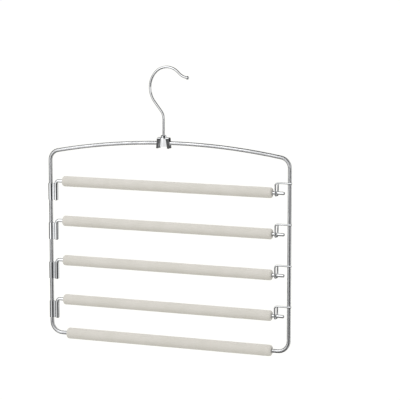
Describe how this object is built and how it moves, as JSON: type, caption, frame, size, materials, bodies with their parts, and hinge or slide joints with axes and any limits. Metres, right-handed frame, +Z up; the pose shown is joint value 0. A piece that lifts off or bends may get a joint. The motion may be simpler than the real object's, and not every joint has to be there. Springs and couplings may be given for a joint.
{
  "type": "multi tier trouser hanger",
  "caption": "Chrome wire trouser hanger: a swivel hook over a rounded frame loop, with foam covered arms that lift out of small rest hooks and swing open on side clips.",
  "frame": {"origin": "the rail seat: the underside of the hook's crown, over the middle of the frame", "axes": "+Z up along the hook's stem, +X to the right along the arms, +Y to the back, where the arms swing out"},
  "size_m": [0.3768, 0.0176, 0.4076],
  "materials": {
    "frame_chrome": "bright chrome plate on steel wire",
    "arm_chrome": "bright chrome plate on steel wire",
    "rest_hook_chrome": "bright chrome plate on thin steel wire",
    "hook_chrome": "bright chrome plate on steel wire",
    "collar_chrome": "bright chrome plate, turned",
    "bracket_steel": "bright chrome plate on pressed sheet",
    "clip_steel": "bright chrome plate on rolled sheet",
    "foam": "matt closed cell foam skin, pale grey beige"
  },
  "bodies": {
    "hook": {"swivel_hook": "hook_chrome"},
    "frame": {"frame_wire": "frame_chrome", "bracket_front": "bracket_steel", "bracket_back": "bracket_steel", "swivel_collar": "collar_chrome", "bottom_foam_sleeve": "foam", "rest_hook_1": "rest_hook_chrome", "rest_hook_2": "rest_hook_chrome", "rest_hook_3": "rest_hook_chrome", "rest_hook_4": "rest_hook_chrome"},
    "clip_1": {"pivot_clip_1": "clip_steel"},
    "arm_1": {"arm_wire_1": "arm_chrome", "foam_sleeve_1": "foam"},
    "clip_2": {"pivot_clip_2": "clip_steel"},
    "arm_2": {"arm_wire_2": "arm_chrome", "foam_sleeve_2": "foam"},
    "clip_3": {"pivot_clip_3": "clip_steel"},
    "arm_3": {"arm_wire_3": "arm_chrome", "foam_sleeve_3": "foam"},
    "clip_4": {"pivot_clip_4": "clip_steel"},
    "arm_4": {"arm_wire_4": "arm_chrome", "foam_sleeve_4": "foam"}
  },
  "joints": [
    {"name": "hook_swivel", "type": "hinge", "parent": "hook", "child": "frame", "pos_m": [-0.0055, 0, -0.105], "axis": [0, 0, 1], "continuous": true},
    {"name": "arm_swing_1", "type": "hinge", "parent": "frame", "child": "clip_1", "pos_m": [-0.1845, 0, -0.1858], "axis": [0, 0, 1], "range_deg": [0, 180]},
    {"name": "arm_lift_1", "type": "slide", "parent": "clip_1", "child": "arm_1", "axis": [0, 0, 1], "range_m": [0, 0.0145]},
    {"name": "arm_swing_2", "type": "hinge", "parent": "frame", "child": "clip_2", "pos_m": [-0.1845, 0, -0.2443], "axis": [0, 0, 1], "range_deg": [0, 180]},
    {"name": "arm_lift_2", "type": "slide", "parent": "clip_2", "child": "arm_2", "axis": [0, 0, 1], "range_m": [0, 0.0145]},
    {"name": "arm_swing_3", "type": "hinge", "parent": "frame", "child": "clip_3", "pos_m": [-0.1845, 0, -0.3028], "axis": [0, 0, 1], "range_deg": [0, 180]},
    {"name": "arm_lift_3", "type": "slide", "parent": "clip_3", "child": "arm_3", "axis": [0, 0, 1], "range_m": [0, 0.0145]},
    {"name": "arm_swing_4", "type": "hinge", "parent": "frame", "child": "clip_4", "pos_m": [-0.1845, 0, -0.3613], "axis": [0, 0, 1], "range_deg": [0, 180]},
    {"name": "arm_lift_4", "type": "slide", "parent": "clip_4", "child": "arm_4", "axis": [0, 0, 1], "range_m": [0, 0.0145]}
  ]
}
